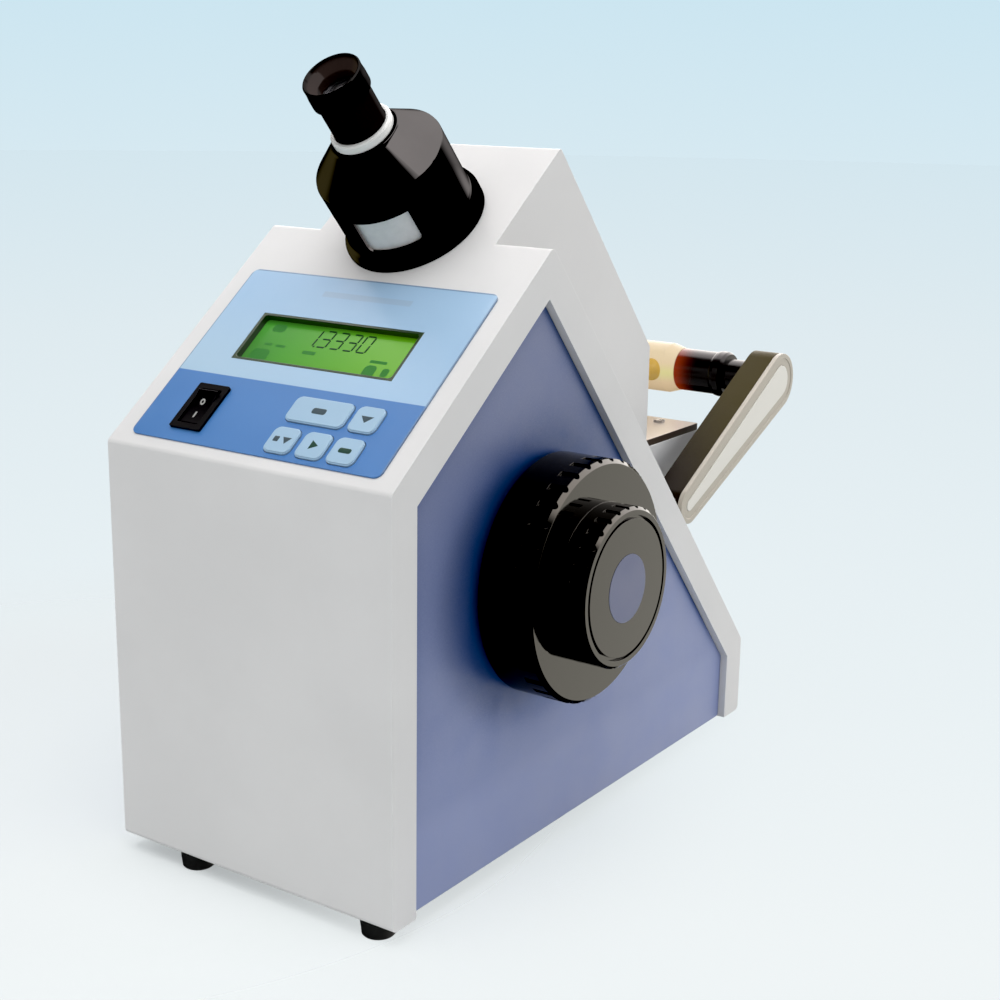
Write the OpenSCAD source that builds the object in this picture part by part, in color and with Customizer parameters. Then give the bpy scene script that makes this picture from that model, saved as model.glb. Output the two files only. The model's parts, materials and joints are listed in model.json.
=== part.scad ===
// Digital Abbe refractometer, a bench instrument that reads the refractive index of a liquid.
// Millimetres. +Z is up, the control slope faces -Y and the handwheel is on +X.
// The origin is the middle of the casing's footprint, on the bench.

/* [Casing] */
// Width of the lower casing
case_w = 172; // [168:1:176]
// Depth of the lower casing
case_d = 340; // [338:1:342]
// Height of the front wall
front_h = 204; // [202:1:206]
// Angle of the control slope from horizontal
slope_deg = 38; // [37.5:0.5:38.5]
// Angle of both rear slopes from horizontal
rear_deg = 49; // [48.5:0.5:49.5]
// Length of the control slope up to the shoulders of the lower casing
shoulder_s = 153; // [152:1:154]
// Length of the control slope up to the ridge
ridge_s = 221.5; // [220:0.5:223]
// Width of the upper housing
upper_w = 108; // [106:1:110]
// Wall thickness of the casting
wall = 2.5; // [2:0.1:3]
// Depth of the cast frame around each side panel
frame_t = 8.5; // [8:0.1:9]
// Width of the frame that shows around a side panel
border = 17.6; // [16:0.2:19]
// How deep the side panels sit
recess = 4; // [3:0.5:4.5]
// Height of the rubber feet
foot_h = 8; // [7:0.5:10]

/* [Controls] */
// Width of the printed overlay
overlay_w = 150.6; // [148:0.2:152]
// Length of the printed overlay up the slope
overlay_l = 112.4; // [111:0.2:113]
// Visible width of the display opening
lcd_w = 98; // [96:1:100]
// Visible height of the display opening
lcd_l = 31; // [30:0.5:32]
// Width of a single key
key_w = 15.5; // [14:0.1:16]
// Length of a key up the slope
key_l = 15; // [14:0.1:15.2]
// How far a key stands above the casing
key_proud = 2; // [1.8:0.1:2.4]

/* [Handwheel] */
// Distance of the handwheel's axis behind the middle of the casing
wheel_y = -46.5; // [-49:0.1:-46]
// Height of the handwheel's axis
wheel_z = 148.5; // [147:0.1:150]
// Radius of the large disc
wheel_r = 59.5; // [56:0.5:61]
// Radius of the inner knob
knob_r = 39.2; // [37:0.2:40]
// Radius of the handwheel shaft
shaft_r = 5; // [4.5:0.1:5.5]

/* [Gears] */
// Extra distance between the two gear centres
gear_play = 0.1; // [0.05:0.01:0.15]
// Metal taken off each tooth flank at the pitch circle
backlash = 0.12; // [0.08:0.01:0.16]

/* [Eyepiece] */
// Place of the eyepiece on the slope
sight_s = 162; // [161:0.5:163]
// Angle of the line of sight from vertical
sight_deg = 42; // [41.5:0.5:42.5]
// Radius of the eyepiece housing
cup_r = 33; // [33:0.1:33.2]
// Radius of the eyepiece barrel
barrel_r = 13.2; // [13:0.1:13.2]

/* [Prisms] */
// Depth of the prism box
box_d = 60.5; // [60:0.5:62]
// Height of the top of the prism table
table_z = 184; // [183:0.5:185]
// Half width of the upper prism box
lid_x = 22; // [21:0.5:22]

/* [Lamp] */
// Distance of the arm's pivot behind the middle of the casing
pivot_y = 104; // [103.5:0.5:104.5]
// Height of the arm's pivot
pivot_z = 150; // [149.5:0.5:150.5]
// Distance from the arm's pivot to the lamp's axis
arm_l = 122.5; // [120:0.5:125]
// Angle of the arm above horizontal
arm_deg = 26.6; // [26:0.2:28]
// Radius of the lamp tube
tube_r = 13; // [13:0.1:13.4]

/* [Hidden] */
$fn = 64;

fit = 0.04;      // radial running clearance
seat = 0.02;     // radial clearance of a seated piece
front_y = -case_d / 2;
back_y = case_d / 2;
slope_z = foot_h + front_h;
panel_x = case_w / 2 - recess - 2;   // inner face of a side panel, which is 2 thick
gap = 0.3;                           // gap around panels and keys

// ---- casing outlines, as points [y, z] going anticlockwise ----
function on_line(s) = [front_y + s * cos(slope_deg), slope_z + s * sin(slope_deg)];
shoulder = on_line(shoulder_s);
ridge = on_line(ridge_s);
rear_wall_z = shoulder[1] - (back_y - shoulder[0]) * tan(rear_deg);
upper_y = 101;                       // rear wall of the upper housing
upper_z = ridge[1] - (upper_y - ridge[0]) * tan(rear_deg);

function lower_outline(bottom) = [
    [front_y, bottom], [back_y, bottom], [back_y, rear_wall_z], shoulder, [front_y, slope_z]
];
function upper_outline(bottom) = [
    [front_y + 85, bottom], [upper_y, bottom], [upper_y, upper_z], ridge, on_line(85 / cos(slope_deg))
];

function unit(v) = v / norm(v);
function prev(p, i) = p[(i + len(p) - 1) % len(p)];
function next(p, i) = p[(i + 1) % len(p)];
function inward(a, b) = let (u = unit(b - a)) [-u[1], u[0]];
// Moves every edge of a convex outline inwards by d.
function inset(p, d) = [
    for (i = [0 : len(p) - 1])
        let (m = inward(prev(p, i), p[i]), n = inward(p[i], next(p, i)))
        p[i] + d * (m + n) / (1 + m * n)
];
function turned(v, a) = [v[0] * cos(a) - v[1] * sin(a), v[0] * sin(a) + v[1] * cos(a)];
// Rounds every corner of a convex outline with radius r.
function rounded(p, r, steps = 4) = [
    for (i = [0 : len(p) - 1])
        let (
            a = unit(prev(p, i) - p[i]),
            b = unit(next(p, i) - p[i]),
            turn = 180 - acos(a * b),
            c = p[i] + unit(a + b) * r / cos(turn / 2),
            start = p[i] + a * r * tan(turn / 2) - c
        )
        for (j = [0 : steps]) c + turned(start, turn * j / steps)
];

// ---- placing ----
// Extrudes an outline of [y, z] points along X, between two X values.
module between_x(x0, x1) translate([x0, 0, 0]) rotate([90, 0, 90]) linear_extrude(x1 - x0) children();
// A solid of revolution about an axis parallel to X; children's Y is the distance along X.
module about_x(y, z) translate([0, y, z]) rotate([0, 90, 0]) children();
module rod_x(y, z, r, x0, x1) about_x(y, z) translate([0, 0, x0]) cylinder(r = r, h = x1 - x0);
// Local frame of the control slope: X across, Y up the slope, Z out of the slope.
module on_slope(s, x = 0, n = 0)
    translate([x, front_y, slope_z]) rotate([slope_deg, 0, 0]) translate([0, s, n]) children();
// Local frame of the line of sight: Z points out of the eyepiece.
sight = on_line(sight_s);
module on_sight(h = 0)
    translate([0, sight[0], sight[1]]) rotate([sight_deg, 0, 0]) translate([0, 0, h]) children();
module rounded_rect(w, l, r) {
    square([w, l - 2 * r], center = true);
    square([w - 2 * r, l], center = true);
    for (x = [-1, 1], y = [-1, 1]) translate([x * (w / 2 - r), y * (l / 2 - r)]) circle(r);
}
module rounded_plate(w, l, h, r) linear_extrude(h) rounded_rect(w, l, r);
module ring(r_out, r_in, h) difference() {
    cylinder(r = r_out, h = h);
    translate([0, 0, -1]) cylinder(r = r_in, h = h + 2);
}
// A biconvex lens of radius r and middle thickness t, with an edge 1 thick.
module lens(r, t) {
    bulge = (t - 1) / 2;
    big = (r * r + bulge * bulge) / (2 * bulge);
    open_deg = asin(r / big);
    rotate_extrude() polygon(concat(
        [for (i = [0 : 6]) [big * sin(open_deg * i / 6), big * cos(open_deg * i / 6) - big + t / 2]],
        [for (i = [6 : -1 : 0])
            [big * sin(open_deg * i / 6), big - t / 2 - big * cos(open_deg * i / 6)]]));
}

// ---- casing ----
upper_floor = 120;
module main_casing() color("ghostwhite") difference() {
    union() {
        between_x(-case_w / 2, case_w / 2) polygon(rounded(lower_outline(foot_h), 3));
        between_x(-upper_w / 2, upper_w / 2) polygon(rounded(upper_outline(upper_floor), 2));
    }
    between_x(frame_t - case_w / 2, case_w / 2 - frame_t) polygon(inset(lower_outline(-20), wall));
    between_x(wall - upper_w / 2, upper_w / 2 - wall) polygon(inset(upper_outline(100), wall));
    for (side = [0, 1]) mirror([side, 0, 0]) {
        between_x(panel_x, case_w) polygon(inset(lower_outline(-20), border));
        between_x(panel_x - 10, case_w) polygon(inset(lower_outline(-20), border + 8));
    }
    on_slope(lcd_s, 0, -10) linear_extrude(20) square([lcd_w + 0.4, lcd_l + 0.4], center = true);
    on_slope(rocker_s, rocker_x, -10) linear_extrude(20) square([16.4, 24.4], center = true);
    for (k = keys) on_slope(k[1], k[0], -10)
        rounded_plate(k[2] + 2 * gap, key_l + 2 * gap, 20, key_corner + gap);
    on_sight(-30) cylinder(r = 21, h = 50);
    translate([-15, upper_y - 5, 149]) cube([30, 10, 24]);
    translate([inlet_x - 14, back_y - 5, inlet_z - 10]) cube([28, 10, 20]);
    translate([socket_x - 12.5, back_y - 5, inlet_z - 6]) cube([25, 10, 12]);
}

// The panel stops just above the casing's lower edge.
module side_panel_sheet() between_x(panel_x, panel_x + 2)
    polygon(rounded(inset(lower_outline(foot_h - border - gap + 0.5), border + gap), 2));
module side_panel_right() color("slateblue") difference() {
    side_panel_sheet();
    rod_x(wheel_y, wheel_z, 16, panel_x - 1, panel_x + 3);
}
module side_panel_left() color("slateblue") mirror([1, 0, 0]) side_panel_sheet();

base_t = 3;
base_top = foot_h + base_t;
module base_plate() color("dimgray") difference() {
    union() {
        translate([frame_t - case_w / 2 + gap, front_y + wall + gap, foot_h])
            cube([case_w - 2 * frame_t - 2 * gap, case_d - 2 * wall - 2 * gap, base_t]);
        translate([-panel_x + gap, -143, foot_h]) cube([2 * panel_x - 2 * gap, 286, base_t]);
    }
    for (y = [-90 : 20 : 90]) translate([25, y, foot_h - 1]) linear_extrude(base_t + 2)
        rounded_rect(44, 5, 2.4);
}

foot_places = [[-44, -160.5], [70.5, -160.5], [-64, 152], [64, 152]];
module rubber_feet() color("black") for (p = foot_places) translate([p[0], p[1], 0]) difference() {
    rotate_extrude() polygon([[0, 0], [7.4, 0], [8, 0.6], [8.6, 6], [8.6, foot_h], [0, foot_h]]);
    translate([0, 0, -1]) cylinder(r = 2.2, h = 5);
}

// ---- controls ----
overlay_s = 6.5 + overlay_l / 2;
overlay_t = 0.8;
lcd_s = 75.2;
rocker_s = 27.2;
rocker_x = -44.5;
key_low_s = 16.8;
key_high_s = 35.6;
key_corner = 3.6;
key_wide = 34;
// Each key: x, place up the slope, width
keys = [
    [23.3, key_high_s, key_wide], [50.5, key_high_s, key_w],
    [13.9, key_low_s, key_w], [32.4, key_low_s, key_w], [50.5, key_low_s, key_w]
];
module control_overlay() color("lightblue") on_slope(overlay_s, 0, seat) difference() {
    rounded_plate(overlay_w, overlay_l, overlay_t, 4);
    translate([0, lcd_s - overlay_s, -1]) linear_extrude(3) square([lcd_w, lcd_l], center = true);
    translate([rocker_x, rocker_s - overlay_s, -1]) linear_extrude(3) square([16.4, 24.4], center = true);
    for (k = keys) translate([k[0], k[1] - overlay_s, -1])
        rounded_plate(k[2] + 2 * gap, key_l + 2 * gap, 3, key_corner + gap);
}

lcd_depth = 2.6;
module lcd_bezel() color("darkolivegreen") on_slope(lcd_s, 0, -lcd_depth) difference() {
    linear_extrude(lcd_depth + overlay_t) square([lcd_w - 0.1, lcd_l - 0.1], center = true);
    translate([0, 0, -1]) linear_extrude(6) rounded_rect(lcd_w - 3.2, lcd_l - 3, 2);
}
lcd_t = 3;
module lcd_panel() color("limegreen") on_slope(lcd_s, 0, -lcd_depth - lcd_t)
    linear_extrude(lcd_t) square([lcd_w - 0.6, lcd_l - 0.6], center = true);

board_n = -12;   // underside of the display board, below the slope
board_t = 1.6;
module display_board() color("darkgreen") {
    on_slope(0, 0, board_n) difference() {
        translate([-52, 8, 0]) cube([112, 85, board_t]);
        translate([-60, 0, -1]) cube([30, 46, 4]);
    }
    on_slope(lcd_s, 0, board_n + board_t) linear_extrude(-lcd_depth - lcd_t - board_n - board_t - 0.05)
        square([lcd_w - 4, lcd_l - 4], center = true);
    for (k = keys) on_slope(k[1], k[0], board_n + board_t) cylinder(r = 3, h = 2.8);
}

module key(k) on_slope(k[1], k[0], 0) {
    translate([0, 0, -3.4]) rounded_plate(k[2], key_l, 3.4 + key_proud - 0.5, key_corner);
    translate([0, 0, key_proud - 0.5]) rounded_plate(k[2] - 0.8, key_l - 0.8, 0.5, key_corner - 0.4);
    translate([0, 0, -5]) rounded_plate(k[2] + 2, key_l + 2, 1.6, key_corner + 1);
    translate([0, 0, -6.4]) cylinder(r = 2.5, h = 2);
}
module key_read() color("lightcyan") key(keys[0]);
module key_scale() color("lightcyan") key(keys[1]);
module key_left() color("lightcyan") key(keys[2]);
module key_middle() color("lightcyan") key(keys[3]);
module key_right() color("lightcyan") key(keys[4]);

rocker_pivot_n = -1;
bezel_n = overlay_t + 2 * seat;     // the bezel's flange rests on the overlay
module rocker_bezel() color("black") on_slope(rocker_s, rocker_x, 0) difference() {
    union() {
        translate([0, 0, bezel_n]) rounded_plate(19.4, 27.8, 1.4, 1);
        translate([0, 0, -22]) linear_extrude(22 + bezel_n) square([16, 24], center = true);
    }
    translate([0, 0, -19]) linear_extrude(30) square([13, 21.4], center = true);
    translate([-8.5, 0, rocker_pivot_n]) rotate([0, 90, 0]) cylinder(r = 1.5 + fit, h = 17);
}
rocker_tilt = 7;
module power_rocker() color("black") on_slope(rocker_s, rocker_x, rocker_pivot_n) {
    rotate([rocker_tilt, 0, 0]) rotate([90, 0, 90]) translate([0, 0, -6.2]) linear_extrude(12.4)
        polygon([[-9.6, 3.6], [-9.2, 0], [-5, -5], [5, -5], [9.2, 0], [9.6, 3.6], [0, 2.4]]);
    rotate([0, 90, 0]) translate([0, 0, -7.4]) cylinder(r = 1.5, h = 14.8);
}

// ---- electronics ----
module main_board() color("darkgreen") {
    translate([-72, -110, 40]) cube([1.6, 130, 100]);
    for (y = [-95 : 32 : 10]) translate([-70.4, y, 60]) cube([4, 18, 18]);
    translate([-70.4, -100, 105]) cube([9, 40, 12]);
    for (y = [-105, 12], z = [46, 132]) translate([-77.4, y, z]) rotate([0, 90, 0])
        cylinder(r = 2.5, h = 5.4);
}
module transformer() color("goldenrod") translate([-34, -115, base_top]) {
    translate([-26, -21, 0]) cube([52, 42, 4]);
    translate([-23, -12, 4]) cube([46, 24, 40]);
    translate([-15, -19, 9]) cube([30, 38, 30]);
}
inlet_x = -50;
inlet_z = 30;
module power_inlet() color("black") translate([inlet_x, back_y, inlet_z]) rotate([90, 0, 0])
difference() {
    union() {
        translate([0, 0, -1.8]) rounded_plate(36, 26, 1.8, 2);
        linear_extrude(22) square([27.6, 19.6], center = true);
    }
    translate([0, 0, -3]) linear_extrude(19) square([24, 16], center = true);
}
socket_x = 20;
module serial_socket() color("silver") translate([socket_x, back_y, inlet_z]) rotate([90, 0, 0]) {
    difference() {
        union() {
            translate([0, 0, -1.5]) rounded_plate(31, 13, 1.5, 2);
            translate([0, 0, -7]) linear_extrude(7) square([19, 9.6], center = true);
            linear_extrude(9) square([24.6, 11.6], center = true);
        }
        translate([0, 0, -8]) linear_extrude(5) square([17.4, 8], center = true);
    }
}

// ---- adjusting drive ----
gear_m = 1.25;                       // gear module
pinion_z = 16;                       // teeth on the pinion
sector_z = 96;                       // teeth on the full circle that the sector is cut from
centre_distance = gear_m * (pinion_z + sector_z) / 2 + gear_play;
drive_deg = -15;                     // direction from the pinion to the mirror's axis
mirror_y = wheel_y + centre_distance * cos(drive_deg);
mirror_z = wheel_z + centre_distance * sin(drive_deg);
function inv(a) = tan(a) * 180 / PI - a;
pressure_deg = 20;
// Half of a tooth's angle at radius r, on an involute flank.
function half_tooth(z, r) =
    let (rp = gear_m * z / 2, a = acos(min(1, rp * cos(pressure_deg) / r)))
    90 / z + inv(pressure_deg) - inv(a) - backlash / rp * 180 / PI;
function polar(r, a) = r * [cos(a), sin(a)];
// Teeth number first to last of a gear with z teeth, counted from the X axis.
module teeth(z, first, last, shift = 0) {
    rp = gear_m * z / 2;
    low = max(rp - 1.25 * gear_m, rp * cos(pressure_deg));
    high = rp + 0.9 * gear_m;
    radii = concat([rp - 1.25 * gear_m - 0.5], [for (i = [0 : 4]) low + (high - low) * i / 4]);
    angles = [for (r = radii) half_tooth(z, max(r, low))];
    for (j = [first : last]) rotate((j + shift) * 360 / z) polygon(concat(
        [for (i = [0 : 5]) polar(radii[i], -angles[i])],
        [for (i = [5 : -1 : 0]) polar(radii[i], angles[i])]));
}
gear_x = 30;
gear_w = 8;
module pinion() color("goldenrod") between_x(gear_x, gear_x + gear_w)
    translate([wheel_y, wheel_z]) difference() {
        union() {
            circle(gear_m * (pinion_z / 2 - 1.25));
            rotate(drive_deg) teeth(pinion_z, 0, pinion_z - 1);
        }
        circle(shaft_r + seat);
    }
mirror_r = 4;    // radius of the mirror shaft
module sector_gear() color("goldenrod") {
    between_x(gear_x + 0.5, gear_x + gear_w - 0.5) translate([mirror_y, mirror_z])
        rotate(drive_deg + 180) difference() {
            union() {
                intersection() {
                    circle(gear_m * (sector_z / 2 - 1.25));
                    polygon([[0, 0], [90, -37], [90, 37]]);
                }
                teeth(sector_z, -6, 5, 0.5);
                circle(11);
            }
            circle(mirror_r + seat);
            translate([36, 0]) circle(9);
        }
    difference() {
        rod_x(mirror_y, mirror_z, 8, gear_x - 6, gear_x + 1);
        rod_x(mirror_y, mirror_z, mirror_r + seat, gear_x - 7, gear_x + 2);
    }
}

bench_x = [-50, 48];
bench_t = 6;
bench_outline = [[wheel_y - 16, base_top], [40, base_top], [38, mirror_z + 14], [-10, wheel_z + 16],
    [wheel_y - 16, wheel_z + 16]];
module optical_bench() color("gray") difference() {
    union() {
        for (x = bench_x) between_x(x, x + bench_t) polygon(rounded(bench_outline, 5));
        between_x(bench_x[0], bench_x[1] + bench_t) translate([wheel_y - 16, base_top])
            square([56 - wheel_y, 5]);
        rod_x(20, 50, 6, bench_x[0] + 1, bench_x[1] + 1);
    }
    rod_x(wheel_y, wheel_z, 9 + seat, bench_x[1] - 1, bench_x[1] + 20);
    rod_x(mirror_y, mirror_z, mirror_r + fit, bench_x[0] - 5, bench_x[1] + 20);
    for (x = bench_x) between_x(x - 1, x + bench_t + 1)
        polygon(rounded([[-50, 36], [0, 36], [0, 100], [-50, 100]], 8));
}
module shaft_bush() color("darkgoldenrod") about_x(wheel_y, wheel_z) difference() {
    union() {
        translate([0, 0, bench_x[1] - 6]) cylinder(r = 9, h = bench_t + 10);
        translate([0, 0, bench_x[1] + bench_t]) cylinder(r = 12, h = 2.5);
    }
    cylinder(r = shaft_r + fit, h = 100);
}

wheel_back = case_w / 2 - 1.5;       // the disc's rear edge reaches into the side recess
wheel_face = wheel_back + 30;
knob_face = wheel_face + 15.4;
cap_r = 16.7;
module handwheel() color("black") about_x(wheel_y, wheel_z) difference() {
    rotate_extrude() polygon([
        [shaft_r + seat, wheel_back - 6], [13, wheel_back - 6], [13, wheel_back + 20],
        [wheel_r - 5, wheel_back + 20], [wheel_r - 5, wheel_back], [wheel_r - 1, wheel_back],
        [wheel_r, wheel_back + 1.5],
        [wheel_r, wheel_face - 2], [wheel_r - 2, wheel_face], [knob_r, wheel_face],
        [knob_r, knob_face - 1.5], [knob_r - 1.5, knob_face], [knob_r - 4, knob_face],
        [knob_r - 4, knob_face - 1.8], [knob_r - 5.6, knob_face - 1.8], [knob_r - 5.6, knob_face],
        [cap_r, knob_face], [cap_r, knob_face - 1], [0, knob_face - 1], [0, knob_face - 14],
        [shaft_r + seat, knob_face - 14]]);
    for (i = [0 : 35]) rotate(i * 10) translate([wheel_r + 1.1, 0, wheel_face - 11])
        cylinder(r = 2.3, h = 12, $fn = 20);
    for (i = [0 : 29]) rotate(i * 12) translate([knob_r + 1, 0, knob_face - 9])
        cylinder(r = 1.9, h = 10, $fn = 20);
}
module handwheel_cap() color("mediumpurple")
    rod_x(wheel_y, wheel_z, cap_r - 0.05, knob_face - 1, knob_face + 0.2);
module handwheel_shaft() color("silver")
    rod_x(wheel_y, wheel_z, shaft_r, gear_x - 4, knob_face - 14);

module mirror_shaft() color("silver") rod_x(mirror_y, mirror_z, mirror_r, -62, bench_x[1] + bench_t + 2);
prism_exit = [118, 165];
fold = sight + 130 * [sin(sight_deg), -cos(sight_deg)];
function heading(a, b) = atan2(b[1] - a[1], b[0] - a[0]);
mirror_c = [mirror_y, mirror_z];
scan_deg = (heading(mirror_c, fold) + heading(mirror_c, prism_exit)) / 2;
module scan_mirror() color("lightsteelblue")
    translate([0, mirror_y, mirror_z]) rotate([scan_deg - 90, 0, 0]) difference() {
        union() {
            translate([-18, -7, -7]) cube([36, 14, 12]);
            translate([-18, -15, 5]) cube([36, 30, 5]);
        }
        translate([-20, 0, 0]) rotate([0, 90, 0]) cylinder(r = mirror_r + seat, h = 40);
    }
module encoder_disc() color("gold") about_x(mirror_y, mirror_z) translate([0, 0, -60]) difference() {
    union() {
        cylinder(r = 20, h = 1);
        cylinder(r = 8, h = 6);
    }
    translate([0, 0, -1]) cylinder(r = mirror_r + seat, h = 10);
}
fold_deg = (heading(fold, mirror_c) + 360 + 90 + sight_deg) / 2;
module fold_mirror() color("lightsteelblue") {
    translate([0, fold[0], fold[1]]) rotate([fold_deg - 90, 0, 0])
        translate([-17, -17, -5]) cube([34, 34, 5]);
    translate([-9, fold[0] + 6, fold[1] - 9]) cube([18, upper_y - wall - fold[0] - 6, 18]);
}

// ---- sight ----
tube_out = 15;
tube_in = 13;
module telescope_tube() color("black") on_sight(-90) ring(tube_out, tube_in, 100);
module objective_lens() color("lightcyan") on_sight(-84) lens(tube_in - 0.05, 7);

bearing_r = 16.4;
cup_inside = cup_r - 1.6;
flange_r = cup_r + 3.4;
cup_top = 59.4;
idler_r = 2.4;
idler_h = 25.5;
module idler_post() on_sight() difference() {
    translate([22.5, -3, 8]) cube([5, 6, 21]);
    translate([20, 0, idler_h]) rotate([0, 90, 0]) cylinder(r = 1 + fit, h = 10);
}
module cup_shell() on_sight() difference() {
    rotate_extrude() polygon([
        [cup_inside, -12], [flange_r, -12], [flange_r, 4], [cup_r + 2.9, 5.2], [cup_r + 0.8, 7.4],
        [cup_r, 10], [cup_r, 42.6], [cup_r - 0.4, 43.9], [18, 57.6], [17.4, 58.6], [17.2, cup_top],
        [barrel_r + fit, cup_top], [barrel_r + fit, 56.6], [bearing_r + fit, 56.6], [bearing_r + fit, 42],
        [18.2, 42], [18.2, 53.8], [cup_inside - 2, 42.4], [cup_inside, 40], [cup_inside, 9],
        [tube_out + seat, 9], [tube_out + seat, 6], [cup_inside, 6]]);
    rotate(22.3) translate([0, 5 - cup_r, 0]) rotate([90, 0, 0]) linear_extrude(10) {
        polygon(rounded([[-14.2, 13.4], [14.2, 13.4], [14.2, 31.8], [-14.2, 31.8]], 3));
        translate([-14.2, 24]) square([28.4, 7.8]);
    }
}
module dispersion_cup() color("black") difference() {
    union() {
        cup_shell();
        idler_post();
    }
    on_slope(sight_s, 0, seat - 40) translate([-60, -60, 0]) cube([120, 120, 40]);
}
wheel_out = cup_inside - 0.3;
module dispersion_wheel() color("silver") on_sight() rotate_extrude() polygon([
    [28, 12], [wheel_out, 12], [wheel_out, 38], [wheel_out - 2, 41], [bearing_r, 41], [bearing_r, 47],
    [14, 47], [14, 39.5], [17 + seat, 39.5], [17 + seat, 35], [28, 35]]);
module amici_prism_front() color("lightcyan") on_sight(28) {
    ring(17, 11.2, 11);
    translate([-8, -8, 0]) cube([16, 16, 11]);
}
module amici_prism_rear() color("lightcyan") {
    on_sight(12) ring(17, 11.2, 11);
    on_sight(5) ring(tube_in - 0.05, 11.2, 8);
    on_sight(12) translate([-8, -8, 0]) cube([16, 16, 11]);
}
module reversing_idler() color("goldenrod") on_sight(idler_h) rotate([0, 90, 0]) {
    translate([0, 0, 12]) cylinder(r = idler_r, h = 8);
    translate([0, 0, 19]) cylinder(r = 1, h = 8);
}
module trim_ring() color("white") on_sight(cup_top) rotate_extrude() polygon([
    [barrel_r + 0.1, 0], [15.2, 0], [15.6, 0.6], [15.6, 3.8], [14.8, 4.6], [barrel_r + 0.1, 4.6]]);
module eyepiece_barrel() color("black") on_sight(48) ring(barrel_r, 11, 36);
module eyecup() color("black") on_sight() rotate_extrude() polygon([
    [barrel_r + seat, 82], [14, 82], [14.8, 83], [14.8, 88], [14.5, 91], [14.6, 93.8], [14.2, 94.5],
    [13.6, 94.5], [12.6, 92], [9.6, 88.5], [9.6, 84.2], [barrel_r + seat, 84.2]]);
module eye_lens_cell() color("gray") {
    on_sight(66) ring(11 - fit, 9, 17.8);
    on_sight(82) lens(9.05, 6);
}

// ---- prisms ----
box_y0 = upper_y;
box_z0 = 140;
box_z1 = table_z - 4;
nipple_ys = [118, 146];
nipple_z = 160;
probe_y = 132;
probe_z = 166;
module prism_box() color("gainsboro") difference() {
    union() {
        translate([-upper_w / 2, box_y0, box_z0]) cube([upper_w, box_d, box_z1 - box_z0]);
        rod_x(pivot_y, pivot_z, 9, upper_w / 2, 63.2);
    }
    translate([-upper_w / 2 + 4, box_y0 + 12, box_z0 + 4]) cube([upper_w - 8, box_d - 16, box_z1]);
    translate([-15, box_y0 - 1, 149]) cube([30, 20, 24]);
    for (y = nipple_ys) rod_x(y, nipple_z, 3 + seat, -upper_w / 2 - 1, -40);
    rod_x(probe_y, probe_z, 2.5 + seat, -upper_w / 2 - 1, -40);
    rod_x(pivot_y, pivot_z, 4 + seat, upper_w / 2 + 0.1, 70);
}
hinge_x = -lid_x - 5;
hinge_z = table_z + 6;
lug_r = 4;
lug_ends = [[112, 118], [150, 156]];
module table_window() translate([-14.1, 117.9, table_z - 10]) cube([28.2, 34.2, 20]);
module prism_table() color("antiquewhite") difference() {
    union() {
        translate([-upper_w / 2, box_y0, box_z1]) cube([upper_w, box_d, table_z - box_z1]);
        for (e = lug_ends) {
            translate([hinge_x, e[1], hinge_z]) rotate([90, 0, 0]) cylinder(r = lug_r, h = e[1] - e[0]);
            translate([hinge_x - lug_r, e[0], table_z - 1])
                cube([2 * lug_r, e[1] - e[0], hinge_z - table_z + 1]);
        }
    }
    table_window();
    translate([hinge_x, 160, hinge_z]) rotate([90, 0, 0]) cylinder(r = 2 + seat, h = 60);
    for (p = screw_places) translate([p[0], p[1], box_z1 - 1]) cylinder(r = 2.1, h = 10);
}
screw_places = [[-46, 108], [46, 108], [-46, 155], [34.5, 150]];
module table_screws() color("silver") for (p = screw_places) translate([p[0], p[1], 0]) difference() {
    union() {
        translate([0, 0, box_z1]) cylinder(r = 2, h = table_z - box_z1 + 0.1);
        translate([0, 0, table_z]) cylinder(r = 3.4, h = 1.6);
    }
    translate([-4, -0.5, table_z + 0.9]) cube([8, 1, 2]);
}
prism_top = table_z + 0.5;
module measuring_prism() color("lightcyan") between_x(-14, 14)
    polygon([[124, 160], [146, 166], [152, table_z - 4], [152, prism_top], [118, prism_top], [118, 176]]);
module hose_nipples() color("silver") for (y = nipple_ys)
    translate([-upper_w / 2, y, nipple_z]) rotate([0, -90, 0]) difference() {
        union() {
            translate([0, 0, -4]) cylinder(r = 3, h = 5);
            cylinder(r = 6.5, h = 4, $fn = 6);
            translate([0, 0, 4]) cylinder(r = 4, h = 16);
        }
        translate([0, 0, -5]) cylinder(r = 2, h = 30);
    }
module temperature_probe() color("dimgray")
translate([-upper_w / 2, probe_y, probe_z]) rotate([0, -90, 0]) {
    translate([0, 0, -14]) cylinder(r = 2.5, h = 15);
    cylinder(r = 5, h = 10);
    translate([0, 0, 10]) cylinder(r = 3, h = 8);
}
module prism_hinge_pin() color("silver") translate([hinge_x, 157, hinge_z]) rotate([90, 0, 0])
    cylinder(r = 2, h = 46);
lid_y = [112, 156];
lid_z = [table_z + 1.2, table_z + 38];
module upper_prism_box() color("gainsboro") difference() {
    union() {
        translate([-lid_x, lid_y[0], lid_z[0]])
            cube([2 * lid_x, lid_y[1] - lid_y[0], lid_z[1] - lid_z[0]]);
        translate([hinge_x, 149.7, hinge_z]) rotate([90, 0, 0]) cylinder(r = lug_r, h = 31.4);
        translate([hinge_x, 118.3, hinge_z]) cube([6, 31.4, lug_r]);
    }
    translate([-17, lid_y[0] + 5, lid_z[0] - 1]) cube([34, lid_y[1] - lid_y[0] - 10, 33]);
    translate([0, lid_y[1] - 8, 206]) rotate([-90, 0, 0]) cylinder(r = 9, h = 20);
    translate([hinge_x, 160, hinge_z]) rotate([90, 0, 0]) cylinder(r = 2 + fit, h = 60);
    rod_x(134, 206, 2.5 + fit, 15, 30);
}
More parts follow.
